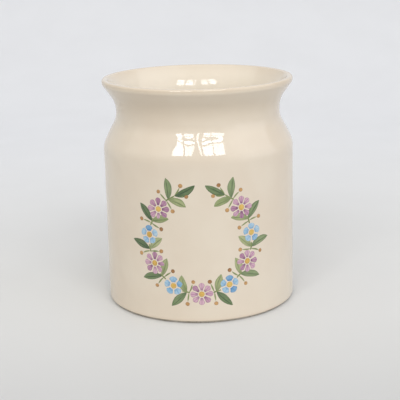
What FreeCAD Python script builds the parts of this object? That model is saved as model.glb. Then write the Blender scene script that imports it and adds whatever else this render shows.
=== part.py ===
import FreeCAD, Part
import cmath
import math
import os
import re
import Sketcher

# Small glazed jar vase: turned clay body, glass coats and a painted wreath on the front.
# Millimetres, +Z up, origin at the middle of the foot on the table; the painted front faces -Y.

doc = FreeCAD.newDocument("Vase")
sizes = doc.addObject("Spreadsheet::Sheet", "Sizes")

driving_sizes = [
    # Finished outside form, measured over the glaze, from the table up
    ("body_radius", 55.0),
    ("body_height", 89.5),
    ("shoulder_round", 13.2),
    ("shoulder_run", 9.5),
    ("shoulder_rise", 21.4),
    ("neck_inset", 7.8),
    ("throat_land", 1.0),
    ("neck_rise", 18.3),
    ("flare_run", 7.2),
    ("rim_flare", 7.5),
    # Clay
    ("wall", 4.0),
    ("lip_taper", 0.5),
    ("floor_thickness", 5.5),
    ("inside_round", 7.0),
    ("foot_inset", 1.4),
    ("foot_width", 5.5),
    ("recess_depth", 1.8),
    # Coats
    ("bare_foot", 1.6),
    ("glaze", 0.3),
    ("enamel", 0.15),
    # Painted wreath, measured on the unrolled wall
    ("wreath_height", 47.0),
    ("wreath_radius", 29.5),
    ("mauve_flower", 13.0),
    ("blue_flower", 11.0),
    ("flower_eye", 3.4),
    ("petal_gap", 0.4),
    ("outer_leaf", 12.5),
    ("inner_leaf", 10.5),
    ("leaf_width", 4.4),
    ("stem_width", 0.9),
    ("stalk_length", 5.5),
    ("berry", 2.3),
]
for row, (alias, value) in enumerate(driving_sizes, start=1):
    sizes.set("A%d" % row, alias)
    sizes.set("B%d" % row, str(value))
    sizes.setAlias("B%d" % row, alias)
doc.recompute()


def read(expression):
    return float(sizes.evalExpression(expression))


def bound(expression):
    return re.sub(r"[a-z][a-z_]*", r"Sizes.\g<0>", expression)


# Turned sections: an outline is a ring of corners and rounds, joined by straight runs that touch them


def corner(across, up):
    return across, up, "0", 1


def left_round(across, up, radius):
    return across, up, radius, 1


def right_round(across, up, radius):
    return across, up, radius, -1


def tangent_run(first_centre, first_reach, second_centre, second_reach):
    # A reach is the radius, positive where the centre lies to the left of the way the outline runs
    between = second_centre.sub(first_centre)
    turn = math.asin((second_reach - first_reach) / between.Length)
    heading = math.atan2(between.y, between.x) - turn
    left = FreeCAD.Vector(-math.sin(heading), math.cos(heading), 0)
    return first_centre.sub(left * first_reach), second_centre.sub(left * second_reach)


def constrain(sketch, expression, *constraint):
    index = sketch.addConstraint(Sketcher.Constraint(*constraint, read(expression)))
    sketch.setExpression("Constraints[%d]" % index, bound(expression))


def locate(sketch, geometry, vertex, across, up):
    horizontal_axis, vertical_axis, origin = -1, -2, (-1, 1)
    if across == "0":
        sketch.addConstraint(Sketcher.Constraint("PointOnObject", geometry, vertex, vertical_axis))
    else:
        constrain(sketch, across, "DistanceX", *origin, geometry, vertex)
    if up == "0":
        sketch.addConstraint(Sketcher.Constraint("PointOnObject", geometry, vertex, horizontal_axis))
    else:
        constrain(sketch, up, "DistanceY", *origin, geometry, vertex)


def draw_section(sketch, stations):
    centres = [FreeCAD.Vector(read(across), read(up), 0) for across, up, radius, side in stations]
    reaches = [read(radius) * side for across, up, radius, side in stations]
    count = len(stations)
    runs = []
    for index in range(count):
        after = (index + 1) % count
        runs.append(tangent_run(centres[index], reaches[index], centres[after], reaches[after]))
    lines = [sketch.addGeometry(Part.LineSegment(*run)) for run in runs]
    start, end, middle = 1, 2, 3
    for index, (across, up, radius, side) in enumerate(stations):
        line_in, line_out = lines[index - 1], lines[index]
        if radius == "0":
            sketch.addConstraint(Sketcher.Constraint("Coincident", line_in, end, line_out, start))
            locate(sketch, line_out, start, across, up)
            continue
        touches = [runs[index - 1][1], runs[index][0]][::side]
        angles = [math.atan2(*reversed(touch.sub(centres[index])[0:2])) for touch in touches]
        circle = Part.Circle(centres[index], FreeCAD.Vector(0, 0, 1), abs(reaches[index]))
        arc = sketch.addGeometry(Part.ArcOfCircle(circle, *angles))
        arc_in, arc_out = (start, end)[::side]
        sketch.addConstraint(Sketcher.Constraint("Tangent", line_in, end, arc, arc_in))
        sketch.addConstraint(Sketcher.Constraint("Tangent", arc, arc_out, line_out, start))
        locate(sketch, arc, middle, across, up)
        constrain(sketch, radius, "Radius", arc)


def turned(label, stations):
    body = doc.addObject("PartDesign::Body", label)
    body.Label = label
    planes = {feature.Role: feature for feature in body.Origin.OriginFeatures}
    sketch = body.newObject("Sketcher::SketchObject", label + "_section")
    sketch.AttachmentSupport = [(planes["XZ_Plane"], "")]
    sketch.MapMode = "FlatFace"
    draw_section(sketch, stations)
    turning = body.newObject("PartDesign::Revolution", label + "_turning")
    turning.Profile = sketch
    turning.ReferenceAxis = (sketch, ["V_Axis"])
    turning.Angle = 360
    doc.recompute()
    return body


# Derived places and rounds. The wall and the throat stand upright, so the two rounds of the shoulder
# follow from its rise, the neck's inset and the straight run between them; the flare does the same.

throat_radius = "(body_radius - neck_inset)"
throat_low = "(body_height + shoulder_rise)"
throat_high = "(body_height + shoulder_rise + throat_land)"
lip_round = "(wall / 2 + glaze - lip_taper / 2)"
lip_across = "(" + throat_radius + " + rim_flare - " + lip_round + ")"
lip_up = "(" + throat_high + " + neck_rise - " + lip_round + ")"
shoulder_rounds = "((shoulder_rise ^ 2 + neck_inset ^ 2 - shoulder_run ^ 2) / (2 * neck_inset))"
low_throat_round = "(" + shoulder_rounds + " - shoulder_round)"
flare_rise = "(neck_rise - " + lip_round + ")"
flare_rounds = "((" + flare_rise + " ^ 2 + rim_flare ^ 2 - flare_run ^ 2) / (2 * rim_flare))"
high_throat_round = "(" + flare_rounds + " - " + lip_round + ")"


# The same outside and inside are followed by each layer, a coat's thickness above the clay


def outside_to_throat(coat):
    return [
        corner("body_radius - glaze + " + coat, "bare_foot"),
        left_round("body_radius - shoulder_round", "body_height", "shoulder_round - glaze + " + coat),
        right_round(throat_radius + " + " + low_throat_round, throat_low, low_throat_round + " + glaze - " + coat),
    ]


def throat_to_inside_floor(coat):
    outer_high_throat = high_throat_round + " + glaze - " + coat
    inner_high_throat = high_throat_round + " + glaze + wall + " + coat
    inner_low_throat = low_throat_round + " + glaze + wall + " + coat
    return [
        right_round(throat_radius + " + " + high_throat_round, throat_high, outer_high_throat),
        left_round(lip_across, lip_up, lip_round + " - glaze + " + coat),
        left_round(throat_radius + " + " + high_throat_round, throat_high, inner_high_throat),
        left_round(throat_radius + " + " + low_throat_round, throat_low, inner_low_throat),
        right_round("body_radius - shoulder_round", "body_height", "shoulder_round - glaze - wall - " + coat),
        right_round("body_radius - glaze - wall - inside_round", "floor_thickness + inside_round",
                    "inside_round - " + coat),
        corner("0", "floor_thickness + " + coat),
    ]


def reversed_way(stations):
    return [(across, up, radius, -side) for across, up, radius, side in reversed(stations)]


bare = "0"
clay_way = outside_to_throat(bare) + throat_to_inside_floor(bare)
glazed_way = outside_to_throat("glaze") + throat_to_inside_floor("glaze")
foot_outer = "body_radius - glaze - foot_inset"
foot_inner = foot_outer + " - foot_width"

# Clay: recess, foot ring, chamfered foot edge, then the wall up, over the lip and down to the inside floor
foot = [
    corner("0", "recess_depth"),
    corner(foot_inner, "recess_depth"),
    corner(foot_inner, "0"),
    corner(foot_outer, "0"),
]
clay_body = turned("clay_body", foot + clay_way)

# Glaze: one skin from the foot edge to the middle of the inside floor
glaze_coat = turned("glaze_coat", glazed_way + reversed_way(clay_way))

# Glaze in the recess, inside the bare foot ring
recess_glaze = turned("recess_glaze", [
    corner("0", "recess_depth - glaze"),
    corner(foot_inner, "recess_depth - glaze"),
    corner(foot_inner, "recess_depth"),
    corner("0", "recess_depth"),
])

# Enamel skin that the painted colours are cut from: the outside from the foot edge to the throat
throat_edge = [corner(throat_radius + " + enamel", throat_high), corner(throat_radius, throat_high)]
enamel_way = outside_to_throat("(glaze + enamel)")
enamel_skin = turned("enamel_skin", enamel_way + throat_edge + reversed_way(outside_to_throat("glaze")))

# Painted wreath. A place on the unrolled wall is a complex number: arc length from the front plus
# height times i. Each outline is drawn flat, as seen from the front, and cut into the enamel skin.

wall_radius = read("body_radius")
wreath_centre = 1j * read("wreath_height")
wreath_radius = read("wreath_radius")
stem_width = read("stem_width")
petal_gap = read("petal_gap")
eye_radius = read("flower_eye") / 2
branch_sides = (1, -1)


def seen_from_front(place):
    return FreeCAD.Vector(wall_radius * math.sin(place.real / wall_radius), 0, place.imag)


def outline_face(places):
    # Closed ring of arcs: every second place lies midway along an arc. All faces look to the front.
    seen = [seen_from_front(place) for place in places + places[:1]]
    arcs = [Part.Arc(*seen[first:first + 3]).toShape() for first in range(0, len(places), 2)]
    face = Part.Face(Part.Wire(arcs))
    if face.normalAt(0, 0).y > 0:
        return outline_face(places[:1] + places[:0:-1])
    return face


def dot(centre, diameter):
    quarters = (1, 1j, -1, -1j)
    return outline_face([centre + diameter / 2 * quarter for quarter in quarters])


def leaf(base, heading, length, width, full_side):
    # Two arcs from base to tip, one fuller than the other so that the leaf curves to one side
    full_middle = length / 2 + 0.62j * width * full_side
    flat_middle = length / 2 - 0.38j * width * full_side
    return outline_face([base, base + full_middle * heading, base + length * heading, base + flat_middle * heading])


def petals(centre, diameter, count, shoulder_share):
    # Rounded wedges round the eye; neighbours keep the petal gap, so their width follows their number
    half_turn = math.pi / count
    inner = eye_radius + petal_gap
    shoulder = inner + shoulder_share * (diameter / 2 - inner)
    inner_side = inner * math.tan(half_turn) - petal_gap / 2
    shoulder_side = shoulder * math.tan(half_turn) - petal_gap / 2
    waist = (inner + shoulder) / 2 + 0.45j * (inner_side + shoulder_side)
    ring = [
        inner + 1j * inner_side,
        waist,
        shoulder + 1j * shoulder_side,
        diameter / 2,
        shoulder - 1j * shoulder_side,
        waist.conjugate(),
        inner - 1j * inner_side,
        abs(inner + 1j * inner_side),
    ]
    headings = [cmath.exp(1j * (math.pi / 2 + 2 * half_turn * number)) for number in range(count)]
    return [outline_face([centre + heading * place for place in ring]) for heading in headings]


def outward(side, turn):
    # Direction from the wreath's middle, for a turn in degrees from its foot up one branch
    return cmath.exp(1j * math.radians(side * turn - 90))


def on_branch(side, turn):
    return wreath_centre + wreath_radius * outward(side, turn)


def splayed(side, turn, splay):
    # Direction that leaves the branch at a splay in degrees, outwards positive, inwards negative
    growth = side * 1j * outward(side, turn)
    return growth * cmath.exp(-1j * side * math.radians(splay))


def stem(side, last_turn, steps):
    # Band along the branch with a round end, as arcs of two steps each
    turns = [last_turn * step / steps for step in range(steps + 1)]
    half = stem_width / 2
    outer = [on_branch(side, turn) + half * outward(side, turn) for turn in turns]
    inner = [on_branch(side, turn) - half * outward(side, turn) for turn in reversed(turns)]
    round_end = on_branch(side, last_turn) + half * splayed(side, last_turn, 0)
    round_start = on_branch(side, 0) - half * splayed(side, 0, 0)
    return outline_face(outer + [round_end] + inner + [round_start])


# Turns up each branch in degrees from the foot of the wreath, and splays from the way it grows
mauve_turns = (64, 128)
blue_turns = (32, 96)
leaf_turns = (16, 48, 80, 112, 144)
tip_turn = 152
berry_setback = 2.2
leaf_splays = {"outer": 60, "inner": -58}
berry_splays = (96, -98)
tip_berry_splays = (30, -30)
mauve_petal_count, mauve_shoulder = 8, 0.62
blue_petal_count, blue_shoulder = 5, 0.5
stem_steps = 10

mauve_middles = [on_branch(1, 0)] + [on_branch(side, turn) for side in branch_sides for turn in mauve_turns]
blue_middles = [on_branch(side, turn) for side in branch_sides for turn in blue_turns]
mauve_faces, blue_faces, eye_faces = [], [], []
for middle in mauve_middles:
    mauve_faces += petals(middle, read("mauve_flower"), mauve_petal_count, mauve_shoulder)
for middle in blue_middles:
    blue_faces += petals(middle, read("blue_flower"), blue_petal_count, blue_shoulder)
for middle in mauve_middles + blue_middles:
    eye_faces.append(dot(middle, read("flower_eye")))

dark_leaf_faces, light_leaf_faces, berry_faces, stem_faces = [], [], [], []
for side in branch_sides:
    tip = on_branch(side, tip_turn)
    stem_faces.append(stem(side, tip_turn, stem_steps))
    dark_leaf_faces.append(leaf(tip, splayed(side, tip_turn, 0), read("outer_leaf"), read("leaf_width"), side))
    for turn in leaf_turns:
        base = on_branch(side, turn)
        outer = splayed(side, turn, leaf_splays["outer"])
        inner = splayed(side, turn, leaf_splays["inner"])
        dark_leaf_faces.append(leaf(base, outer, read("outer_leaf"), read("leaf_width"), side))
        light_leaf_faces.append(leaf(base, inner, read("inner_leaf"), read("leaf_width"), -side))
    stalks = [(turn - berry_setback, splay) for turn in leaf_turns for splay in berry_splays]
    stalks += [(tip_turn, splay) for splay in tip_berry_splays]
    for turn, splay in stalks:
        base = on_branch(side, turn)
        heading = splayed(side, turn, splay)
        stem_faces.append(leaf(base, heading, read("stalk_length"), stem_width, side))
        berry_faces.append(dot(base + heading * read("stalk_length + berry / 2"), read("berry")))
mauve_grounds = [dot(middle, read("mauve_flower")) for middle in mauve_middles]
blue_grounds = [dot(middle, read("blue_flower")) for middle in blue_middles]


def joined(faces):
    return faces[0].multiFuse(faces[1:]).removeSplitter()


def painted(label, flat_shape):
    # Each flat outline is pushed forward through the front of the enamel skin
    through_front = FreeCAD.Vector(0, -2 * wall_radius, 0)
    prisms = [face.extrude(through_front) for face in flat_shape.Faces]
    layer = doc.addObject("Part::Feature", label)
    layer.Label = label
    layer.Shape = enamel_skin.Shape.common(prisms)
    if len(layer.Shape.Solids) != len(prisms):
        raise RuntimeError("Strokes were lost from " + label)
    return layer


# Colours in the order that they lie over one another, each with the ground that it keeps for itself:
# a flower keeps its whole round, so that no stem or leaf shows between its petals
colour_order = [
    ("painted_flower_eyes", eye_faces, []),
    ("painted_mauve_petals", mauve_faces, mauve_grounds),
    ("painted_blue_petals", blue_faces, blue_grounds),
    ("painted_berries", berry_faces, berry_faces),
    ("painted_light_leaves", light_leaf_faces, light_leaf_faces),
    ("painted_dark_leaves", dark_leaf_faces, dark_leaf_faces),
    ("painted_stems", stem_faces, []),
]
kept_grounds = []
painted_layers = []
for label, faces, grounds in colour_order:
    flat_shape = joined(faces)
    if kept_grounds:
        flat_shape = flat_shape.cut(kept_grounds)
    painted_layers.append(painted(label, flat_shape))
    kept_grounds += grounds

nodes = [clay_body, glaze_coat, recess_glaze] + painted_layers

failed = [item.Name for item in doc.Objects if "Invalid" in item.State or "Error" in item.State]
failed += [node.Label for node in nodes if node.Shape.isNull() or not node.Shape.isValid()]
failed += [node.Label for node in nodes if not node.Shape.Solids]
if failed:
    raise RuntimeError("Pieces that could not be built: " + ", ".join(failed))

os.makedirs("parts", exist_ok=True)
for node in nodes:
    node.Shape.exportStep("parts/" + node.Label + ".step")
    print(node.Label, len(node.Shape.Solids), "solids,", round(node.Shape.Volume, 2), "mm3")
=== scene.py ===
import math
import bpy
import numpy as np
from mathutils import Matrix, Vector


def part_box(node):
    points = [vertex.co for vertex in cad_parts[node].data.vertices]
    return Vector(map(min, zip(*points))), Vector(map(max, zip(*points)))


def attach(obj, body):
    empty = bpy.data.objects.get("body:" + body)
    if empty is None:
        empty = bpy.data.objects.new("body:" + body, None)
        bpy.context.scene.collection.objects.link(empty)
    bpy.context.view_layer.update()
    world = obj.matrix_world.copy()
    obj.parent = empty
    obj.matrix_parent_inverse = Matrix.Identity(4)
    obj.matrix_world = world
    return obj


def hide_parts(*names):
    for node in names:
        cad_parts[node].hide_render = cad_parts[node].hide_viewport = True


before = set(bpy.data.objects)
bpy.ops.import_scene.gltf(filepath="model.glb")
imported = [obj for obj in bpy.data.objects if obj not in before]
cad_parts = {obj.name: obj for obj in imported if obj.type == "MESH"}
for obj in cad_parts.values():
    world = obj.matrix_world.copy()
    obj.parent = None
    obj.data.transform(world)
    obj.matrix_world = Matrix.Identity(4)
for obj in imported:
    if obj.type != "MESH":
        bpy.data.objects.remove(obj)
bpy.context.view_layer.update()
print("frame:", len(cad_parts), "CAD nodes")

mm = 0.001
scene = bpy.context.scene
scene.view_settings.view_transform = "Standard"
handOfMaker = np.random.default_rng(41)  # every small irregularity is drawn from here


# Node helpers

def srgb(red, green, blue):
    # screen colour 0..255 to the linear value that a shader takes
    share = np.array([red, green, blue]) / 255
    linear = np.where(share <= 0.04045, share / 12.92, ((share + 0.055) / 1.055) ** 2.4)
    return (*linear.tolist(), 1.0)


def addNode(tree, kind, wires=(), **settings):
    # wires: pairs of input name or number and a socket or a plain value
    made = tree.nodes.new("ShaderNode" + kind)
    for key, value in settings.items():
        setattr(made, key, value)
    for key, value in wires:
        if isinstance(value, bpy.types.NodeSocket):
            tree.links.new(value, made.inputs[key])
        else:
            made.inputs[key].default_value = value
    return made


def sums(tree, operation, first, second=0.0, third=0.0, clamp=False):
    wires = [(0, first), (1, second), (2, third)]
    return addNode(tree, "Math", wires, operation=operation, use_clamp=clamp).outputs[0]


def blendColour(tree, share, first, second):
    wires = [("Factor", share), (6, first), (7, second)]
    return addNode(tree, "Mix", wires, data_type="RGBA").outputs[2]


def ramp(tree, value, start, end, low=0.0, high=1.0):
    # smooth step from low at start to high at end
    wires = [("Value", value), ("From Min", start), ("From Max", end), ("To Min", low), ("To Max", high)]
    return addNode(tree, "MapRange", wires, interpolation_type="SMOOTHSTEP").outputs["Result"]


def cloud(tree, place, scale, detail=2.0, roughness=0.5):
    wires = [("Vector", place), ("Scale", scale), ("Detail", detail), ("Roughness", roughness)]
    return addNode(tree, "TexNoise", wires).outputs["Fac"]


def newGroup(name, inputs, outputs):
    # inputs: name, kind, starting value; outputs: name, kind
    tree = bpy.data.node_groups.new(name, "ShaderNodeTree")
    for label, kind, value in inputs:
        socket = tree.interface.new_socket(label, in_out="INPUT", socket_type="NodeSocket" + kind)
        if value is not None:
            socket.default_value = value
    for label, kind in outputs:
        tree.interface.new_socket(label, in_out="OUTPUT", socket_type="NodeSocket" + kind)
    return tree, tree.nodes.new("NodeGroupInput").outputs, tree.nodes.new("NodeGroupOutput").inputs


def placeGroup(tree, group, wires):
    return addNode(tree, "Group", wires, node_tree=group).outputs


def newMaterial(name):
    material = bpy.data.materials.new(name)
    material.use_nodes = True
    tree = material.node_tree
    place = tree.nodes.new("ShaderNodeTexCoord").outputs["Object"]
    return material, tree, tree.nodes["Principled BSDF"], place


def attribute(tree, name):
    return addNode(tree, "Attribute", attribute_name=name).outputs["Fac"]


def bumpOf(tree, height, distance, strength=1.0):
    wires = [("Height", height), ("Distance", distance), ("Strength", strength)]
    return addNode(tree, "Bump", wires).outputs["Normal"]


# Kiln group: clouds for glaze, clay and floor, iron flecks for clay, a fine height for glaze and clay

kilnLook = {
    "cloudDetail": 3.0, "cloudFrom": 0.3, "cloudTo": 0.7,
    "fleckEdge": 0.45, "fleckCore": 0.1, "peelDetail": 2.0,
}


def makeKilnGroup(look):
    tree, given, result = newGroup(
        "kilnSurface",
        [("Place", "Vector", None), ("Cloud Scale", "Float", 40.0), ("Fleck Scale", "Float", 600.0),
         ("Fleck Share", "Float", 0.1), ("Peel Scale", "Float", 700.0)],
        [("Cloud", "Float"), ("Fleck", "Float"), ("Peel", "Float")])
    large = cloud(tree, given["Place"], given["Cloud Scale"], look["cloudDetail"])
    tree.links.new(ramp(tree, large, look["cloudFrom"], look["cloudTo"]), result["Cloud"])
    cells = addNode(tree, "TexVoronoi", [("Vector", given["Place"]), ("Scale", given["Fleck Scale"])])
    chosen = addNode(tree, "SeparateColor", [(0, cells.outputs["Color"])]).outputs[0]
    rare = sums(tree, "LESS_THAN", chosen, given["Fleck Share"])
    spot = ramp(tree, cells.outputs["Distance"], look["fleckEdge"], look["fleckCore"])
    tree.links.new(sums(tree, "MULTIPLY", rare, spot), result["Fleck"])
    peel = cloud(tree, given["Place"], given["Peel Scale"], look["peelDetail"])
    tree.links.new(peel, result["Peel"])
    return tree


kilnGroup = makeKilnGroup(kilnLook)


# Mesh helpers

def meshPiece(name, points, quads, triangles, material):
    # quads (n, 4) and triangles (m, 3) are point numbers, in an order that faces outwards
    corners = np.concatenate([quads.ravel(), triangles.ravel()]).astype(np.int32)
    starts = np.concatenate([np.arange(len(quads)) * 4, len(quads) * 4 + np.arange(len(triangles)) * 3])
    mesh = bpy.data.meshes.new(name)
    mesh.vertices.add(len(points))
    mesh.vertices.foreach_set("co", points.astype(np.float32).ravel())
    mesh.loops.add(len(corners))
    mesh.loops.foreach_set("vertex_index", corners)
    mesh.polygons.add(len(starts))
    mesh.polygons.foreach_set("loop_start", starts.astype(np.int32))
    mesh.polygons.foreach_set("use_smooth", np.ones(len(starts), dtype=bool))
    mesh.update(calc_edges=True)
    mesh.materials.append(material)
    piece = bpy.data.objects.new(name, mesh)
    scene.collection.objects.link(piece)
    return piece


def storeValues(piece, name, values):
    made = piece.data.attributes.new(name, "FLOAT", "POINT")
    made.data.foreach_set("value", np.asarray(values, dtype=np.float32).ravel())


def standsFor(piece, nodeName):
    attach(piece, "root")
    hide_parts(nodeName)
    print(piece.name, "stands for", nodeName, "with", len(piece.data.polygons), "faces")


# Form of the pot, the same sizes as on the CAD model, over the glaze

vaseForm = {
    "bodyRadius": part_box("glaze_coat")[1].x,
    "bodyHeight": 89.5 * mm,      # table to the start of the shoulder
    "shoulderRound": 13.2 * mm,
    "shoulderRun": 9.5 * mm,
    "shoulderRise": 21.4 * mm,
    "neckInset": 7.8 * mm,
    "throatLand": 1.0 * mm,
    "neckRise": 18.3 * mm,
    "flareRun": 7.2 * mm,
    "rimFlare": 7.5 * mm,
    "wall": 4.0 * mm,
    "lipTaper": 0.5 * mm,
    "floorThickness": 5.5 * mm,
    "insideRound": 7.0 * mm,
    "footInset": 1.4 * mm,
    "footWidth": 5.5 * mm,
    "recessDepth": 1.8 * mm,
    "bareFoot": 1.6 * mm,         # wiped clean of glaze
    "glaze": 0.3 * mm,
}


def touchingRounds(rise, inset, run):
    # sum of the radii of two upright rounds that turn opposite ways and are joined by a straight run
    return (rise ** 2 + inset ** 2 - run ** 2) / (2 * inset)


def potWay(coat):
    # rounds (across, up, radius, side) from the inside floor's middle, over the lip, down the outside;
    # side is 1 where the round's middle lies left of the way, coat is the height over the clay
    form = vaseForm
    throat = form["bodyRadius"] - form["neckInset"]
    throatLow = form["bodyHeight"] + form["shoulderRise"]
    throatHigh = throatLow + form["throatLand"]
    lip = form["wall"] / 2 + form["glaze"] - form["lipTaper"] / 2
    flareRise = form["neckRise"] - lip
    shoulderSum = touchingRounds(form["shoulderRise"], form["neckInset"], form["shoulderRun"])
    low = shoulderSum - form["shoulderRound"]
    high = touchingRounds(flareRise, form["rimFlare"], form["flareRun"]) - lip
    lift = coat - form["glaze"]
    inner = form["wall"] + form["glaze"] + coat
    shoulderAcross = form["bodyRadius"] - form["shoulderRound"]
    floorAcross = form["bodyRadius"] - form["glaze"] - form["wall"] - form["insideRound"]
    return [
        (0, form["floorThickness"] + coat, 0, 1),
        (floorAcross, form["floorThickness"] + form["insideRound"], form["insideRound"] - coat, 1),
        (shoulderAcross, form["bodyHeight"], form["shoulderRound"] - inner, 1),
        (throat + low, throatLow, low + inner, -1),
        (throat + high, throatHigh, high + inner, -1),
        (throat + form["rimFlare"] - lip, throatHigh + flareRise, lip + lift, -1),
        (throat + high, throatHigh, high - lift, 1),
        (throat + low, throatLow, low - lift, 1),
        (shoulderAcross, form["bodyHeight"], form["shoulderRound"] + lift, -1),
    ]


lipStation = 5  # place of the lip's round in potWay


def reversedWay(stations):
    return [(across, up, radius, -side) for across, up, radius, side in reversed(stations)]


def outlineOf(stations, step, turnStep=math.radians(9)):
    # straight runs that touch the rounds; on a round with middle c, heading h gives c - i exp(ih) reach
    centre = np.array([complex(across, up) for across, up, radius, side in stations])
    reach = np.array([radius * side for across, up, radius, side in stations])
    between = np.diff(centre)
    heading = np.angle(between) - np.arcsin(np.diff(reach) / np.abs(between))
    leave = centre[:-1] - 1j * np.exp(1j * heading) * reach[:-1]
    arrive = centre[1:] - 1j * np.exp(1j * heading) * reach[1:]
    stretches = []
    for run in range(len(between)):
        count = max(1, math.ceil(abs(arrive[run] - leave[run]) / step))
        stretches.append(leave[run] + (arrive[run] - leave[run]) * np.arange(count) / count)
        if run + 1 < len(between) and reach[run + 1]:
            turn = np.angle(np.exp(1j * (heading[run + 1] - heading[run])))
            count = max(1, math.ceil(max(abs(turn * reach[run + 1]) / step, abs(turn) / turnStep)))
            way = heading[run] + turn * np.arange(count) / count
            stretches.append(centre[run + 1] - 1j * np.exp(1j * way) * reach[run + 1])
    return np.concatenate(stretches + [arrive[-1:]])


glazeRipple = {"waves": 16, "slope": 0.0045, "slowest": 2, "fastest": 42, "shortestRise": 9 * mm}


def drawRipple(look):
    # each wave: lobes round the pot, how it climbs, its start, and its height for the given slope
    lobes = handOfMaker.integers(look["slowest"], look["fastest"], look["waves"])
    climb = handOfMaker.uniform(-1, 1, look["waves"]) * 2 * np.pi / look["shortestRise"]
    start = handOfMaker.uniform(0, 2 * np.pi, look["waves"])
    steepness = np.hypot(lobes / vaseForm["bodyRadius"], climb)
    return lobes, climb, start, look["slope"] / steepness


rippleWaves = drawRipple(glazeRipple)


def rippleAt(angle, height):
    # sum of waves height * cos(lobes * angle + climb * z + start): how far the glaze stands out or in
    lobes, climb, start, swell = rippleWaves
    phase = angle[..., None] * lobes + height[..., None] * climb + start
    return (swell * np.cos(phase)).sum(-1)


def turnedPiece(name, outline, count, material, rippleShare=None):
    # outline point (r, z) turned to angle a is (r sin a, -r cos a, z); both ends are poles
    angle = (np.arange(count) / count * 2 * np.pi)[None, :]
    radius = outline[1:-1].real[:, None] + 0 * angle
    height = outline[1:-1].imag[:, None] + 0 * angle
    if rippleShare is not None:
        radius = radius + rippleShare[1:-1, None] * rippleAt(angle + 0 * radius, height)
    rings = np.stack([radius * np.sin(angle), -radius * np.cos(angle), height], -1)
    poles = np.array([[0, 0, outline[0].imag], [0, 0, outline[-1].imag]])
    number = np.arange(rings.shape[0] * count).reshape(-1, count)
    nextRound = np.roll(number, -1, axis=1)
    quads = np.stack([number[:-1], number[1:], nextRound[1:], nextRound[:-1]], -1).reshape(-1, 4)
    firstPole, lastPole = number.size, number.size + 1
    firstFan = np.stack([0 * number[0] + firstPole, number[0], nextRound[0]], -1)
    lastFan = np.stack([number[-1], 0 * number[-1] + lastPole, nextRound[-1]], -1)
    points = np.concatenate([rings.reshape(-1, 3), poles])
    return meshPiece(name, points, quads, np.concatenate([firstFan, lastFan]), material)


def roundTheRing(valuesAlong, count):
    # one value per outline point, spread to every point of a turned piece in its own order
    return np.concatenate([np.repeat(valuesAlong[1:-1], count), valuesAlong[[0, -1]]])


# Bare clay: only the wiped foot shows

clayLook = {
    "pale": (212, 203, 190), "dark": (188, 178, 162), "fleck": (148, 130, 108),
    "cloudScale": 160.0, "fleckScale": 900.0, "fleckShare": 0.18, "grainScale": 2600.0,
    "roughness": 0.85, "grain": 0.05 * mm,
    "edgeRound": 0.5 * mm, "wallFootRound": 1.0 * mm, "recessRound": 0.25 * mm,
    "step": 2.6 * mm, "around": 224,
}


def makeBareClay(look):
    material, tree, shader, place = newMaterial("bareClay")
    kiln = placeGroup(tree, kilnGroup, [
        ("Place", place), ("Cloud Scale", look["cloudScale"]), ("Fleck Scale", look["fleckScale"]),
        ("Fleck Share", look["fleckShare"]), ("Peel Scale", look["grainScale"])])
    ground = blendColour(tree, kiln["Cloud"], srgb(*look["pale"]), srgb(*look["dark"]))
    flecked = blendColour(tree, kiln["Fleck"], ground, srgb(*look["fleck"]))
    tree.links.new(flecked, shader.inputs["Base Color"])
    shader.inputs["Roughness"].default_value = look["roughness"]
    tree.links.new(bumpOf(tree, kiln["Peel"], look["grain"]), shader.inputs["Normal"])
    return material


def makeClayBody(look):
    form = vaseForm
    clayRadius = form["bodyRadius"] - form["glaze"]
    footOuter = clayRadius - form["footInset"]
    footInner = footOuter - form["footWidth"]
    edge, wallFoot, hollow = look["edgeRound"], look["wallFootRound"], look["recessRound"]
    foot = [
        (clayRadius - wallFoot, form["bareFoot"] + wallFoot / 2, wallFoot, -1),
        (footOuter - edge, edge, edge, -1),
        (footInner + edge, edge, edge, -1),
        (footInner - hollow, form["recessDepth"] - hollow, hollow, 1),
        (0, form["recessDepth"], 0, 1),
    ]
    outline = outlineOf(potWay(0) + foot, look["step"])
    piece = turnedPiece("clayBody", outline, look["around"], makeBareClay(look))
    standsFor(piece, "clay_body")


makeClayBody(clayLook)


# Cream glaze: one glass skin over the pot, rolled at the wiped foot

creamLook = {
    "cream": (225, 211, 192), "pale": (229, 217, 199),
    # thin is the thin coat's tint at lip and foot and also painted shade at the neck and on the lip's
    # face; inside is a paler cream painted as light in the mouth
    "thin": (217, 198, 172), "inside": (240, 230, 213),
    "cloudScale": 28.0, "peelScale": 300.0,
    "roughness": 0.03, "cloudyRoughness": 0.02, "peel": 0.009 * mm, "ior": 1.6,
    "footRoll": 0.26 * mm, "step": 1.3 * mm, "hiddenStep": 4.0 * mm, "around": 240,
    "stillPoints": 4,             # last points of the outside, which have no ripple
    "thinLip": 2.4 * mm, "thinFoot": 2.0 * mm, "lipShare": 0.2, "footShare": 0.4,
    "footFrom": 0.9,              # share of the radius beyond which a point can be at the foot
    # painted shade in the hollow of the neck, under the lip
    "neckShadeShare": 0.3, "neckOver": 7.0 * mm, "neckWidth": 8.0 * mm,
    # depth over which the painted light inside the mouth comes in
    "insideFade": 14.0 * mm,
    # painted shade on the lip's outer face
    "faceShadeShare": 0.5, "faceUnder": 2.0 * mm, "faceWidth": 1.6 * mm,
    "lipCorner": 0.33 * mm, "lipTolerance": 0.02 * mm,
    # from and to are heights over the start of the shoulder
    "swell": 0.18 * mm, "swellFrom": 4.5 * mm, "swellTo": 18.5 * mm,
}


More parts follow.
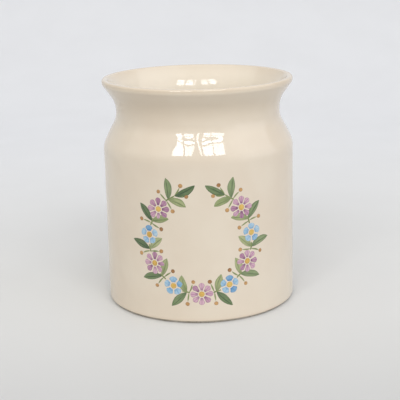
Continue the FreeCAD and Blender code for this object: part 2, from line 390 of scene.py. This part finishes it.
def makeCreamGlaze(look):
    material, tree, shader, place = newMaterial("creamGlaze")
    kiln = placeGroup(tree, kilnGroup, [
        ("Place", place), ("Cloud Scale", look["cloudScale"]), ("Peel Scale", look["peelScale"])])
    ground = blendColour(tree, kiln["Cloud"], srgb(*look["cream"]), srgb(*look["pale"]))
    # painted light: paler cream inside the mouth
    insideLit = blendColour(tree, attribute(tree, "paintedInsideLight"), ground, srgb(*look["inside"]))
    # thin coat at lip and foot, and painted shade at the neck and on the lip's face
    tinted = blendColour(tree, attribute(tree, "thinGlazeAndShade"), insideLit, srgb(*look["thin"]))
    tree.links.new(tinted, shader.inputs["Base Color"])
    rough = sums(tree, "MULTIPLY_ADD", kiln["Cloud"], look["cloudyRoughness"], look["roughness"])
    tree.links.new(rough, shader.inputs["Roughness"])
    shader.inputs["IOR"].default_value = look["ior"]
    tree.links.new(bumpOf(tree, kiln["Peel"], look["peel"]), shader.inputs["Normal"])
    return material


creamGlaze = makeCreamGlaze(creamLook)


def makeGlazeCoat(look):
    form = vaseForm
    roll = look["footRoll"]
    edge = (form["bodyRadius"] - form["glaze"], form["bareFoot"], 0, 1)
    rolled = (form["bodyRadius"] - roll, form["bareFoot"] + roll, roll, -1)
    shown = outlineOf(potWay(form["glaze"]) + [rolled, edge], look["step"])
    hidden = outlineOf([edge] + reversedWay(potWay(0)), look["hiddenStep"])[1:]
    # the shoulder is a little fuller than its straight run, by swell * sin(pi * share)^2
    overStart = shown.imag - form["bodyHeight"] - look["swellFrom"]
    share = np.clip(overStart / (look["swellTo"] - look["swellFrom"]), 0, 1)
    isOutside = np.arange(len(shown)) > shown.imag.argmax()
    shown = shown + isOutside * look["swell"] * np.sin(np.pi * share) ** 2
    # the lip's outer corner is squarer than a round: its points go out by lipCorner * sin(2 * bearing)^2
    across, up, radius, side = potWay(form["glaze"])[lipStation]
    fromMiddle = shown - complex(across, up)
    onRound = np.abs(np.abs(fromMiddle) - radius) < look["lipTolerance"]
    onLip = onRound & (fromMiddle.imag > 0) & (fromMiddle.real > 0)
    corner = look["lipCorner"] * np.sin(2 * np.angle(fromMiddle)) ** 2
    shown = shown + onLip * corner * fromMiddle / np.abs(fromMiddle)
    outline = np.concatenate([shown, hidden])
    rippleShare = np.concatenate([np.ones(len(shown)), np.zeros(len(hidden))])
    rippleShare[len(shown) - look["stillPoints"]:len(shown)] = 0
    piece = turnedPiece("glazeCoat", outline, look["around"], creamGlaze, rippleShare)
    neckMiddle = form["bodyHeight"] + form["shoulderRise"] + look["neckOver"]
    lipTop = form["bodyHeight"] + form["shoulderRise"] + form["throatLand"] + form["neckRise"]
    atLip = np.clip(1 - (lipTop - outline.imag) / look["thinLip"], 0, 1)
    nearFoot = np.clip(1 - (outline.imag - form["bareFoot"]) / look["thinFoot"], 0, 1)
    atFoot = nearFoot * (outline.real > look["footFrom"] * form["bodyRadius"])
    # painted shade: in the hollow of the neck, under the lip, the coat is darkened with the same thin
    # colour
    highest = outline.imag.argmax()
    place = np.arange(len(outline))
    atNeck = np.exp(-((outline.imag - neckMiddle) / look["neckWidth"]) ** 2) * (place > highest)
    # the coat's own thin tint at the lip and at the foot
    warmthAndShade = np.maximum(look["lipShare"] * atLip ** 2, look["footShare"] * atFoot ** 2)
    warmthAndShade = np.maximum(warmthAndShade, look["neckShadeShare"] * atNeck)
    # painted shade also on the lip's outer face, a little way down the outline from the top
    alongWay = np.concatenate([[0], np.abs(np.diff(outline)).cumsum()])
    fromFace = alongWay - alongWay[highest] - look["faceUnder"]
    warmthAndShade = np.maximum(warmthAndShade, look["faceShadeShare"] * np.exp(-(fromFace / look["faceWidth"]) ** 2))
    storeValues(piece, "thinGlazeAndShade", roundTheRing(warmthAndShade, look["around"]))
    # painted light: inside, the coat is made paler from the lip's top down to the throat, lightening the
    # shaded hollow
    paintedInsideLight = (place < highest) * np.clip((lipTop - outline.imag) / look["insideFade"], 0, 1)
    storeValues(piece, "paintedInsideLight", roundTheRing(paintedInsideLight, look["around"]))
    standsFor(piece, "glaze_coat")


makeGlazeCoat(creamLook)

recessLook = {
    "creep": 0.5 * mm, "creepWidth": 1.4 * mm, "softening": 0.8 * mm,
    "thinFrom": 0.9, "thinWidth": 0.1,  # shares of the recess's radius
    "step": 2.0 * mm, "around": 160,
}


def makeRecessGlaze(look):
    # disc in the foot's recess whose edge creeps a little down the ring
    form = vaseForm
    edge = form["bodyRadius"] - form["glaze"] - form["footInset"] - form["footWidth"]
    face = form["recessDepth"] - form["glaze"]
    stations = [
        (0, form["recessDepth"], 0, 1),
        (edge, form["recessDepth"], 0, 1),
        (edge, face - look["creep"], 0, 1),
        (edge - look["creepWidth"], face - look["softening"], look["softening"], 1),
        (0, face, 0, 1),
    ]
    outline = outlineOf(stations, look["step"])
    piece = turnedPiece("recessGlaze", outline, look["around"], creamGlaze)
    thinGlazeAndShade = np.clip((outline.real - look["thinFrom"] * edge) / (look["thinWidth"] * edge), 0, 1)
    storeValues(piece, "thinGlazeAndShade", roundTheRing(thinGlazeAndShade, look["around"]))
    standsFor(piece, "recess_glaze")


makeRecessGlaze(recessLook)


# Brush group: a wash along a stroke, thin to full, pooled darker at its edge, its heart and its vein

brushLook = {
    "drawnOut": 1.6, "apart": 37.0,  # how streaks stretch along a stroke and differ between strokes
    "streakDetail": 3.0, "streakRoughness": 0.6, "streakFrom": 0.28, "streakTo": 0.72, "streakWeight": 0.5,
    "washScale": 260.0, "washDetail": 2.0, "washFrom": 0.3, "washTo": 0.7, "washWeight": 0.25,
    "toneWeight": 0.65, "toneStart": -0.2,
    "edgeFrom": 0.66, "edgeTo": 0.96, "endFrom": 0.82, "endTo": 0.98,
    "heartEnd": 0.55, "veinEdge": 0.2, "veinCore": 0.03,
    "ladenFrom": 0.55, "ladenShare": 0.38, "streakyDark": 0.5, "evenDark": 0.55,
}


def makeBrushGroup(look):
    tree, given, result = newGroup(
        "brushWash",
        [("Place", "Vector", None), ("Along", "Float", 0.5), ("Across", "Float", 0.0),
         ("Tone", "Float", 0.5), ("Thin", "Color", None), ("Full", "Color", None), ("Deep", "Color", None),
         ("Streaks", "Float", 3.0), ("Pooling", "Float", 0.5), ("Heart", "Float", 0.3),
         ("Vein", "Float", 0.0)],
        [("Colour", "Color"), ("Film", "Float")])
    sideways = sums(tree, "MULTIPLY", given["Across"], given["Streaks"])
    lengthways = sums(tree, "MULTIPLY", given["Along"], look["drawnOut"])
    apart = sums(tree, "MULTIPLY", given["Tone"], look["apart"])
    strokePlace = addNode(tree, "CombineXYZ", [(0, sideways), (1, lengthways), (2, apart)]).outputs[0]
    streakCloud = cloud(tree, strokePlace, 1.0, look["streakDetail"], look["streakRoughness"])
    streak = ramp(tree, streakCloud, look["streakFrom"], look["streakTo"])
    washCloud = cloud(tree, given["Place"], look["washScale"], look["washDetail"])
    wash = ramp(tree, washCloud, look["washFrom"], look["washTo"])
    streaked = sums(tree, "MULTIPLY", streak, look["streakWeight"])
    density = sums(tree, "ADD", streaked, sums(tree, "MULTIPLY", wash, look["washWeight"]))
    ownTone = sums(tree, "MULTIPLY_ADD", given["Tone"], look["toneWeight"], look["toneStart"])
    toned = sums(tree, "ADD", density, ownTone, clamp=True)
    washed = blendColour(tree, toned, given["Thin"], given["Full"])
    offMiddle = sums(tree, "ABSOLUTE", given["Across"])
    offCentre = sums(tree, "ABSOLUTE", sums(tree, "MULTIPLY_ADD", given["Along"], 2.0, -1.0))
    atEdge = ramp(tree, offMiddle, look["edgeFrom"], look["edgeTo"])
    rim = sums(tree, "MAXIMUM", atEdge, ramp(tree, offCentre, look["endFrom"], look["endTo"]))
    pooled = sums(tree, "MULTIPLY", rim, given["Pooling"])
    heart = sums(tree, "MULTIPLY", ramp(tree, given["Along"], look["heartEnd"], 0.0), given["Heart"])
    atVein = ramp(tree, offMiddle, look["veinEdge"], look["veinCore"])
    vein = sums(tree, "MULTIPLY", atVein, given["Vein"])
    laden = ramp(tree, given["Tone"], look["ladenFrom"], 1.0, 0.0, look["ladenShare"])
    dark = sums(tree, "MAXIMUM", sums(tree, "MAXIMUM", pooled, heart), vein, clamp=True)
    patchy = sums(tree, "MULTIPLY_ADD", streak, look["streakyDark"], look["evenDark"])
    uneven = sums(tree, "MULTIPLY_ADD", dark, patchy, laden, clamp=True)
    tree.links.new(blendColour(tree, uneven, washed, given["Deep"]), result["Colour"])
    tree.links.new(sums(tree, "ADD", streak, rim), result["Film"])
    return tree


brushGroup = makeBrushGroup(brushLook)

enamelLook = {"roughness": 0.12, "brushMark": 0.01 * mm}
paints = {
    "stem_olive": {"thin": (150, 158, 108), "full": (112, 130, 76), "deep": (84, 100, 56),
                   "streaks": 1.0, "pooling": 0.5, "heart": 0.4, "vein": 0.0},
    "leaf_green": {"thin": (146, 160, 118), "full": (98, 122, 80), "deep": (62, 82, 60),
                   "streaks": 3.0, "pooling": 0.6, "heart": 0.6, "vein": 0.8},
    "leaf_light_green": {"thin": (178, 182, 138), "full": (134, 150, 98), "deep": (84, 104, 66),
                         "streaks": 3.0, "pooling": 0.5, "heart": 0.55, "vein": 0.7},
    "berry_brown": {"thin": (206, 164, 110), "full": (172, 126, 80), "deep": (118, 80, 52),
                    "streaks": 1.5, "pooling": 0.75, "heart": 0.3, "vein": 0.0},
    "petal_blue": {"thin": (190, 212, 224), "full": (124, 176, 212), "deep": (70, 124, 180),
                   "streaks": 3.5, "pooling": 0.6, "heart": 0.6, "vein": 0.3},
    "petal_mauve": {"thin": (216, 180, 194), "full": (184, 134, 164), "deep": (122, 78, 114),
                    "streaks": 3.5, "pooling": 0.7, "heart": 0.85, "vein": 0.45},
    "eye_ochre": {"thin": (228, 194, 110), "full": (206, 160, 72), "deep": (146, 100, 48),
                  "streaks": 2.0, "pooling": 0.7, "heart": 0.2, "vein": 0.0},
}


def makeEnamel(slotName, paint):
    material, tree, shader, place = newMaterial(slotName + "Enamel")
    wires = [("Place", place)]
    wires += [(name.title(), attribute(tree, name)) for name in ("along", "across", "tone")]
    wires += [(name.title(), srgb(*paint[name])) for name in ("thin", "full", "deep")]
    wires += [(name.title(), paint[name]) for name in ("streaks", "pooling", "heart", "vein")]
    wash = placeGroup(tree, brushGroup, wires)
    tree.links.new(wash["Colour"], shader.inputs["Base Color"])
    shader.inputs["Roughness"].default_value = enamelLook["roughness"]
    tree.links.new(bumpOf(tree, wash["Film"], enamelLook["brushMark"]), shader.inputs["Normal"])
    return material


# Wreath on the unrolled wall: a place is a complex number, arc length from the front plus i times height

wreathLook = {
    "middle": 47.0j * mm, "radius": 29.5 * mm,
    "mauveFlower": 13.0 * mm, "blueFlower": 11.0 * mm, "eye": 3.4 * mm, "petalGap": 0.4 * mm,
    "outerLeaf": 12.5 * mm, "innerLeaf": 10.5 * mm, "leafWidth": 4.4 * mm,
    "stemWidth": 0.9 * mm, "stalk": 5.5 * mm, "berry": 2.3 * mm,
    "film": 0.13 * mm, "filmSpread": (0.8, 1.1), "sink": 0.02 * mm,
    "stemFilm": 0.55, "darkLeafFilm": 0.75, "lightLeafFilm": 0.8, "eyeFilm": 1.15,
    "mauveTurns": (64, 128), "blueTurns": (32, 96), "leafTurns": (16, 48, 80, 112, 144), "tipTurn": 152,
    "outerSplay": 60, "innerSplay": -58, "berrySplays": (96, -98), "tipBerrySplays": (30, -30),
    "berrySetback": 2.2, "mauvePetals": 8, "bluePetals": 5, "mauveShoulder": 0.62, "blueShoulder": 0.5,
}
branchSides = (1, -1)

# Hand of the brush: pairs are the least and the most of a drawn value
strokeLook = {"topPoints": 9, "underPoints": 3, "crownPower": 4, "endPower": 12}
leafLook = {
    "fullEdge": 0.62, "slimEdge": 0.38, "bend": 0.05, "lengths": (0.95, 1.04),
    "waver": 0.05, "waverSpeeds": (5, 11), "waverStarts": (0, 6),
}
dotLook = {"sizes": (0.94, 1.05), "rightSides": (0.9, 1.02)}
petalLook = {
    "waist": 0.2, "unsteady": 0.02, "lengths": (0.95, 1.02), "widths": (0.93, 1.0),
    "rightSides": (0.94, 1.0),
}
stemLook = {
    "sway": 0.15 * mm, "swaySpeeds": (3, 6), "swayStarts": (0, 6), "endWidth": 0.75, "middleWidth": 0.35,
}


def outward(side, turn):
    # direction from the wreath's middle, turn degrees up one branch from the wreath's foot
    return np.exp(1j * np.radians(side * np.asarray(turn) - 90.0))


def onBranch(side, turn):
    return wreathLook["middle"] + wreathLook["radius"] * outward(side, turn)


def splayed(side, turn, splay):
    # direction that leaves the branch at a splay in degrees, outwards positive
    return side * 1j * outward(side, turn) * np.exp(-1j * side * np.radians(splay))


def easedStations(count):
    # shares of a stroke's length, closer together at its ends, with neither end itself
    return (1 - np.cos(np.pi * (np.arange(count) + 0.5) / count)) / 2


def strokePiece(name, nodeName, slotName, spine, leftHalf, rightHalf, film):
    # closed brush strokes: a pillow section is carried along each spine. Spine rows are strokes, columns
    # the stations with both ends; halves are the widths left and right at the stations between the ends.
    look = wreathLook
    across = np.concatenate([np.sin(np.linspace(-np.pi / 2, np.pi / 2, strokeLook["topPoints"])),
                             np.linspace(1, -1, strokeLook["underPoints"] + 2)[1:-1]])
    isTop = np.arange(len(across)) < strokeLook["topPoints"]
    ends, inside = spine[:, [0, -1]], spine[:, 1:-1]
    heading = np.gradient(spine, axis=1)[:, 1:-1]
    sideways = 1j * heading / np.abs(heading)
    reach = np.where(across > 0, leftHalf[..., None] * across, rightHalf[..., None] * across)
    flat = inside[..., None] + sideways[..., None] * reach
    alongPath = np.abs(np.diff(spine, axis=1)).cumsum(1)
    share = alongPath[:, :-1] / alongPath[:, -1:]
    crown = (1 - across ** strokeLook["crownPower"]) * isTop - (~isTop)
    swell = (1 - np.abs(2 * share - 1) ** strokeLook["endPower"])[..., None] * crown
    raised = swell * (film[:, None, None] + look["sink"]) - look["sink"]
    height = np.where(isTop, raised, -2 * look["sink"])
    strokes, stations, section = flat.shape
    tone = handOfMaker.uniform(0, 1, strokes)

    def stacked(rings, tips):
        return np.concatenate([rings.reshape(strokes, -1), tips], axis=1)

    place = stacked(flat, ends)
    lift = stacked(height, np.full((strokes, 2), -look["sink"]))
    radius = vaseForm["bodyRadius"]
    angle = place.real / radius
    standing = radius + rippleAt(angle, place.imag) + lift
    points = np.stack([standing * np.sin(angle), -standing * np.cos(angle), place.imag], -1)
    points = points.reshape(-1, 3)
    number = np.arange(stations * section).reshape(stations, section)
    beside = np.roll(number, -1, axis=1)
    quads = np.stack([number[:-1], number[1:], beside[1:], beside[:-1]], -1).reshape(-1, 4)
    startTip, endTip = number.size, number.size + 1
    fans = np.concatenate([np.stack([0 * number[0] + startTip, number[0], beside[0]], -1),
                           np.stack([number[-1], 0 * number[-1] + endTip, beside[-1]], -1)])
    offset = (np.arange(strokes) * (number.size + 2))[:, None, None]
    piece = meshPiece(name, points, (quads + offset).reshape(-1, 4), (fans + offset).reshape(-1, 3),
                      makeEnamel(slotName, paints[slotName]))
    alongRings = np.broadcast_to(share[..., None], flat.shape)
    acrossRings = np.broadcast_to(across, flat.shape)
    tips = np.tile([0.0, 1.0], (strokes, 1))
    storeValues(piece, "along", stacked(alongRings, tips))
    storeValues(piece, "across", stacked(acrossRings, 0 * tips))
    storeValues(piece, "tone", np.repeat(tone, number.size + 2))
    standsFor(piece, nodeName)


def filmOf(strokes):
    return wreathLook["film"] * handOfMaker.uniform(*wreathLook["filmSpread"], strokes)


def paintStrokes(name, nodeName, slotName, strokes, filmShare=1.0):
    film = filmShare * filmOf(len(strokes[0]))
    strokePiece(name, nodeName, slotName, *strokes, film)


def arcRise(share, length, sagitta):
    # height of a circle's arc over its chord, at a share of the chord's length
    radius = (length ** 2 / 4 + sagitta ** 2) / (2 * sagitta)
    return np.sqrt(radius ** 2 - (length * (share - 0.5)) ** 2) - (radius - sagitta)


def leafStrokes(base, heading, length, width, fullSide, stations=22):
    # nearly straight spine; one edge bulges by fullEdge of the width, the other by slimEdge
    look = leafLook
    count = len(base)
    share = np.concatenate([[0], easedStations(stations), [1]])
    bend = look["bend"] * handOfMaker.uniform(-1, 1, (count, 1)) * np.sin(np.pi * share)
    sizes = length * handOfMaker.uniform(*look["lengths"], (count, 1))
    spine = base[:, None] + heading[:, None] * sizes * (share + 1j * bend)
    full = arcRise(share[1:-1], length, look["fullEdge"] * width)
    slim = arcRise(share[1:-1], length, look["slimEdge"] * width)
    speed = handOfMaker.uniform(*look["waverSpeeds"], (count, 1))
    start = handOfMaker.uniform(*look["waverStarts"], (count, 1))
    waver = 1 + look["waver"] * np.sin(speed * share[1:-1] + start)
    isLeft = (np.asarray(fullSide) > 0)[:, None]
    return spine, np.where(isLeft, full, slim) * waver, np.where(isLeft, slim, full) * waver


def dotStrokes(middle, diameter, stations=12):
    # round dab: half width is the circle's own
    share = np.concatenate([[0], easedStations(stations), [1]])
    turn = np.exp(1j * handOfMaker.uniform(0, 2 * np.pi, len(middle)))
    size = np.asarray(diameter) * handOfMaker.uniform(*dotLook["sizes"], len(middle))
    spine = middle[:, None] + turn[:, None] * size[:, None] * (share - 0.5)
    half = size[:, None] * np.sqrt(share[1:-1] * (1 - share[1:-1]))
    return spine, half, half * handOfMaker.uniform(*dotLook["rightSides"], (len(middle), 1))


def petalStrokes(middles, diameter, count, shoulderShare, stations=16):
    # rounded wedges round the eye: widening to the shoulder, then a round end
    look = wreathLook
    halfTurn = np.pi / count
    inner = look["eye"] / 2 + look["petalGap"]
    outer = diameter / 2
    shoulder = inner + shoulderShare * (outer - inner)
    innerHalf = inner * np.tan(halfTurn) - look["petalGap"] / 2
    shoulderHalf = shoulder * np.tan(halfTurn) - look["petalGap"] / 2
    sagitta = outer - shoulder
    endRound = (shoulderHalf ** 2 + sagitta ** 2) / (2 * sagitta)
    share = np.concatenate([[0], easedStations(stations), [1]])
    reach = inner + (outer - inner) * share[1:-1]
    toShoulder = (reach - inner) / (shoulder - inner)
    wedge = innerHalf + (shoulderHalf - innerHalf) * toShoulder
    waist = petalLook["waist"] * (innerHalf + shoulderHalf) * toShoulder * (1 - toShoulder)
    tipRound = np.sqrt(np.maximum(endRound ** 2 - (reach - outer + endRound) ** 2, 0))
    half = np.where(reach < shoulder, wedge - waist, tipRound)
    strokes = len(middles) * count
    heading = np.exp(1j * (np.pi / 2 + 2 * halfTurn * np.arange(count)))
    astray = handOfMaker.normal(0, petalLook["unsteady"], strokes)
    heading = np.tile(heading, len(middles)) * np.exp(1j * astray)
    length = handOfMaker.uniform(*petalLook["lengths"], (strokes, 1))
    fromEye = inner + (outer - inner) * share * length
    spine = np.repeat(middles, count)[:, None] + heading[:, None] * fromEye
    half = np.tile(half, (strokes, 1)) * handOfMaker.uniform(*petalLook["widths"], (strokes, 1))
    return spine, half, half * handOfMaker.uniform(*petalLook["rightSides"], (strokes, 1))


def stemStretches(side, flowerEdges, stations=26):
    # brush lines along a branch from flower to flower, a little unsteady, thinner at their ends
    look = stemLook
    share = np.concatenate([[0], easedStations(stations), [1]])
    turn = np.array([start + (end - start) * share for start, end in flowerEdges])
    speed = handOfMaker.uniform(*look["swaySpeeds"], (len(turn), 1))
    begin = handOfMaker.uniform(*look["swayStarts"], (len(turn), 1))
    sway = look["sway"] * np.sin(speed * share + begin)
    spine = onBranch(side, turn) + outward(side, turn) * sway
    fullness = look["endWidth"] + look["middleWidth"] * np.sin(np.pi * share[1:-1])
    half = wreathLook["stemWidth"] / 2 * fullness * np.ones((len(turn), 1))
    return spine, half, half


def stacks(*strokeSets):
    return [np.concatenate(part) for part in zip(*strokeSets)]


def makeWreath(look):
    mauveMiddles = [onBranch(1, 0)]
    mauveMiddles += [onBranch(side, turn) for side in branchSides for turn in look["mauveTurns"]]
    blueMiddles = [onBranch(side, turn) for side in branchSides for turn in look["blueTurns"]]
    mauveMiddles, blueMiddles = np.array(mauveMiddles), np.array(blueMiddles)

    # stems: stretches between the flowers, then the berry stalks
    mauveEdge = math.degrees(look["mauveFlower"] / 2 / look["radius"])
    blueEdge = math.degrees(look["blueFlower"] / 2 / look["radius"])
    stops = [(0, mauveEdge)] + [(turn, mauveEdge) for turn in look["mauveTurns"]]
    stops = sorted(stops + [(turn, blueEdge) for turn in look["blueTurns"]])
    stops.append((look["tipTurn"], 0))
    stretches = [(first[0] + first[1], second[0] - second[1]) for first, second in zip(stops, stops[1:])]
    stalks = [(turn - look["berrySetback"], splay)
              for turn in look["leafTurns"] for splay in look["berrySplays"]]
    stalks += [(look["tipTurn"], splay) for splay in look["tipBerrySplays"]]
    stalkBase = np.array([onBranch(side, turn) for side in branchSides for turn, splay in stalks])
    stalkWay = np.array([splayed(side, turn, splay) for side in branchSides for turn, splay in stalks])
    stalkSide = np.repeat(branchSides, len(stalks))
    stalkStrokes = leafStrokes(stalkBase, stalkWay, look["stalk"], look["stemWidth"], stalkSide,
                               stations=26)
    stems = stacks(*[stemStretches(side, stretches) for side in branchSides], stalkStrokes)
    paintStrokes("paintedStems", "painted_stems", "stem_olive", stems, look["stemFilm"])

    # leaves in pairs, dark outside, light inside, and a dark leaf at each tip
    leafSide = np.repeat(branchSides, len(look["leafTurns"]))
    leafPlaces = [(side, turn) for side in branchSides for turn in look["leafTurns"]]
    leafBase = np.array([onBranch(side, turn) for side, turn in leafPlaces])
    outerWay = np.array([splayed(side, turn, look["outerSplay"]) for side, turn in leafPlaces])
    innerWay = np.array([splayed(side, turn, look["innerSplay"]) for side, turn in leafPlaces])
    tipBase = np.array([onBranch(side, look["tipTurn"]) for side in branchSides])
    tipWay = np.array([splayed(side, look["tipTurn"], 0) for side in branchSides])
    dark = leafStrokes(np.concatenate([leafBase, tipBase]), np.concatenate([outerWay, tipWay]),
                       look["outerLeaf"], look["leafWidth"], np.concatenate([leafSide, branchSides]))
    paintStrokes("paintedDarkLeaves", "painted_dark_leaves", "leaf_green", dark, look["darkLeafFilm"])
    light = leafStrokes(leafBase, innerWay, look["innerLeaf"], look["leafWidth"], -leafSide)
    paintStrokes("paintedLightLeaves", "painted_light_leaves", "leaf_light_green", light,
                 look["lightLeafFilm"])

    # berries on their stalks
    berryMiddles = stalkBase + stalkWay * (look["stalk"] + look["berry"] / 2)
    berries = dotStrokes(berryMiddles, np.full(len(berryMiddles), look["berry"]))
    paintStrokes("paintedBerries", "painted_berries", "berry_brown", berries)

    # flowers: petals, then the eyes
    blue = petalStrokes(blueMiddles, look["blueFlower"], look["bluePetals"], look["blueShoulder"])
    paintStrokes("paintedBluePetals", "painted_blue_petals", "petal_blue", blue)
    mauve = petalStrokes(mauveMiddles, look["mauveFlower"], look["mauvePetals"], look["mauveShoulder"])
    paintStrokes("paintedMauvePetals", "painted_mauve_petals", "petal_mauve", mauve)
    eyeMiddles = np.concatenate([mauveMiddles, blueMiddles])
    eyes = dotStrokes(eyeMiddles, np.full(len(eyeMiddles), look["eye"]))
    paintStrokes("paintedFlowerEyes", "painted_flower_eyes", "eye_ochre", eyes, look["eyeFilm"])


makeWreath(wreathLook)


# Floor that sweeps up into a backdrop

stageLook = {
    # near is a darker grey painted as shade on the floor in front of the vase
    "near": (192, 192, 192), "middle": (225, 225, 224), "backdrop": (241, 242, 245),
    "nearFrom": 0.02, "nearTo": -0.28, "paleFrom": -0.5, "paleTo": -2.4, "backFrom": 0.0, "backTo": 0.55,
    "halfWidth": 4.0, "front": -4.0, "bend": 0.55, "bendRadius": 0.5, "bendSteps": 24, "wallHeight": 1.6,
    "roughness": 0.55, "cloudScale": 14.0, "wear": 0.05,
}


def makeStage(look):
    # profile: flat, a quarter round, then upright, drawn out sideways
    turn = np.linspace(0, np.pi / 2, look["bendSteps"])
    wallPlace = look["bend"] + look["bendRadius"]
    wallTop = look["bendRadius"] + look["wallHeight"]
    y = np.concatenate([[look["front"]], look["bend"] + look["bendRadius"] * np.sin(turn), [wallPlace]])
    z = np.concatenate([[0], look["bendRadius"] * (1 - np.cos(turn)), [wallTop]])
    left = np.stack([0 * y - look["halfWidth"], y, z], -1)
    right = np.stack([0 * y + look["halfWidth"], y, z], -1)
    points = np.concatenate([left, right])
    number = np.arange(len(y))
    quads = np.stack([number[:-1], number[:-1] + len(y), number[1:] + len(y), number[1:]], -1)
    material, tree, shader, place = newMaterial("paleFloor")
    kiln = placeGroup(tree, kilnGroup, [("Place", place), ("Cloud Scale", look["cloudScale"])])
    depth = addNode(tree, "SeparateXYZ", [(0, place)]).outputs["Y"]
    # painted shade: the floor turns darker grey in front of the vase, then pale again far in front
    darker = ramp(tree, depth, look["nearFrom"], look["nearTo"])
    near = sums(tree, "MULTIPLY", darker, ramp(tree, depth, look["paleFrom"], look["paleTo"], 1.0, 0.0))
    back = ramp(tree, depth, look["backFrom"], look["backTo"])
    front = blendColour(tree, near, srgb(*look["middle"]), srgb(*look["near"]))
    pale = blendColour(tree, back, front, srgb(*look["backdrop"]))
    tinted = sums(tree, "MULTIPLY", kiln["Cloud"], look["wear"])
    tree.links.new(blendColour(tree, tinted, pale, srgb(*look["near"])), shader.inputs["Base Color"])
    shader.inputs["Roughness"].default_value = look["roughness"]
    floor = meshPiece("floorSweep", points, quads, np.zeros((0, 3), dtype=int), material)


makeStage(stageLook)
print("stage done")


# Light: a soft room, and two paned windows behind the camera that the glaze mirrors

roomLight = {
    "lobes": [  # azimuth from the camera's side, elevation, spread, brightness in red, green and blue
        (90, 8, 60, (0.66, 0.66, 0.68)),
        (90, 30, 60, (0.42, 0.43, 0.46)),
        (-90, 28, 60, (0.41, 0.40, 0.375)),
        (-90, 65, 60, (0.35, 0.35, 0.335)),
        (0, 12, 70, (0.335, 0.335, 0.335)),
        (0, 65, 60, (0.29, 0.29, 0.29)),
        (180, 45, 60, (0.16, 0.15, 0.14)),
    ],
    "mirrored": [  # seen in the glaze alone
        (180, 70, 60, (0.4, 0.4, 0.38)),
        (-80, 30, 60, (0.12, 0.12, 0.16)),
    ],
    "seen": (224, 226, 230), "core": 0.3,
}


def wayTo(azimuth, elevation):
    # unit vector; azimuth 0 points from the vase to the camera's side, positive to its right
    across, rise = math.radians(azimuth), math.radians(elevation)
    return Vector((math.sin(across) * math.cos(rise), -math.cos(across) * math.cos(rise), math.sin(rise)))


def makeRoom(look):
    # brightness of the world: soft lobes, each a smooth step of the cosine to its direction; the glaze
    # mirrors further lobes, and the camera sees an even pale room
    world = bpy.data.worlds.new("softRoom")
    scene.world = world
    world.use_nodes = True
    tree = world.node_tree
    way = tree.nodes.new("ShaderNodeTexCoord").outputs["Generated"]

    def lobesOf(parts):
        total = (0, 0, 0)
        for azimuth, elevation, spread, brightness in parts:
            wires = [(0, way), (1, wayTo(azimuth, elevation))]
            towards = addNode(tree, "VectorMath", wires, operation="DOT_PRODUCT")
            edge, core = math.cos(math.radians(spread)), math.cos(math.radians(spread * look["core"]))
            share = ramp(tree, towards.outputs["Value"], edge, core)
            wires = [(0, brightness), (1, share), (2, total)]
            total = addNode(tree, "VectorMath", wires, operation="MULTIPLY_ADD").outputs[0]
        return total

    ray = tree.nodes.new("ShaderNodeLightPath").outputs
    wires = [(0, lobesOf(look["mirrored"])), (1, ray["Is Glossy Ray"]), (2, lobesOf(look["lobes"]))]
    lit = addNode(tree, "VectorMath", wires, operation="MULTIPLY_ADD").outputs[0]
    colour = blendColour(tree, ray["Is Camera Ray"], lit, srgb(*look["seen"]))
    tree.links.new(colour, tree.nodes["Background"].inputs["Color"])


makeRoom(roomLight)

windowLight = {
    "radiance": 8.45, "unevenness": 0.25, "distance": 1.6, "colour": (1.0, 1.0, 0.99),
    "columns": ((-33, -22.5), (-19.5, -7), (6, 19.5), (21.5, 36)),
    "rows": ((32.5, 42.4), (43.6, 45.6), (46.8, 50.5)),
    "curtainGap": ((-0.4, 2.2), (33, 50)), "curtainLean": 8.0, "curtainShare": 0.8,
}


def makePane(name, look, columnSpan, rowSpan, lean, share):
    # lamp on a sphere about the shoulder, sized by the angles that it spans
    left, right = columnSpan
    low, high = rowSpan
    way = wayTo((left + right) / 2, (low + high) / 2)
    lamp = bpy.data.lights.new(name, "AREA")
    lamp.shape = "RECTANGLE"
    lamp.size = look["distance"] * math.radians(right - left) * math.hypot(way.x, way.y)
    lamp.size_y = look["distance"] * math.radians(high - low)
    lamp.energy = look["radiance"] * share * math.pi * lamp.size * lamp.size_y
    lamp.color = look["colour"]
    pane = bpy.data.objects.new(name, lamp)
    facing = way.to_track_quat("Z", "Y").to_matrix() @ Matrix.Rotation(math.radians(lean), 3, "Z")
    pane.rotation_euler = facing.to_euler()
    pane.location = Vector((0, 0, vaseForm["bodyHeight"])) + way * look["distance"]
    scene.collection.objects.link(pane)


def makeWindows(look):
    # two windows of three rows of panes, and the gap between their curtains
    for column, columnSpan in enumerate(look["columns"]):
        for row, rowSpan in enumerate(look["rows"]):
            share = 1 + look["unevenness"] * handOfMaker.uniform(-1, 1)
            makePane("pane_%d_%d" % (column, row), look, columnSpan, rowSpan, 0.0, share)
    makePane("curtainGap", look, *look["curtainGap"], look["curtainLean"], look["curtainShare"])


makeWindows(windowLight)
print("lights done")


# Camera at the photograph's place

cameraView = {
    "place": (0.0, -0.5789, 0.2084), "pitch": 14.698, "turn": -0.019, "roll": -1.267,
    "lens": 91.0, "sensor": 36.0,
}


def makeCamera(look):
    camera = bpy.data.objects.new("camera", bpy.data.cameras.new("camera"))
    camera.data.sensor_width = look["sensor"]
    camera.data.lens = look["lens"]
    turned = Matrix.Rotation(math.radians(look["turn"]), 4, "Z")
    pitched = Matrix.Rotation(math.radians(90 - look["pitch"]), 4, "X")
    rolled = Matrix.Rotation(math.radians(look["roll"]), 4, "Z")
    camera.rotation_euler = (turned @ pitched @ rolled).to_euler()
    camera.location = look["place"]
    scene.collection.objects.link(camera)
    scene.camera = camera


makeCamera(cameraView)
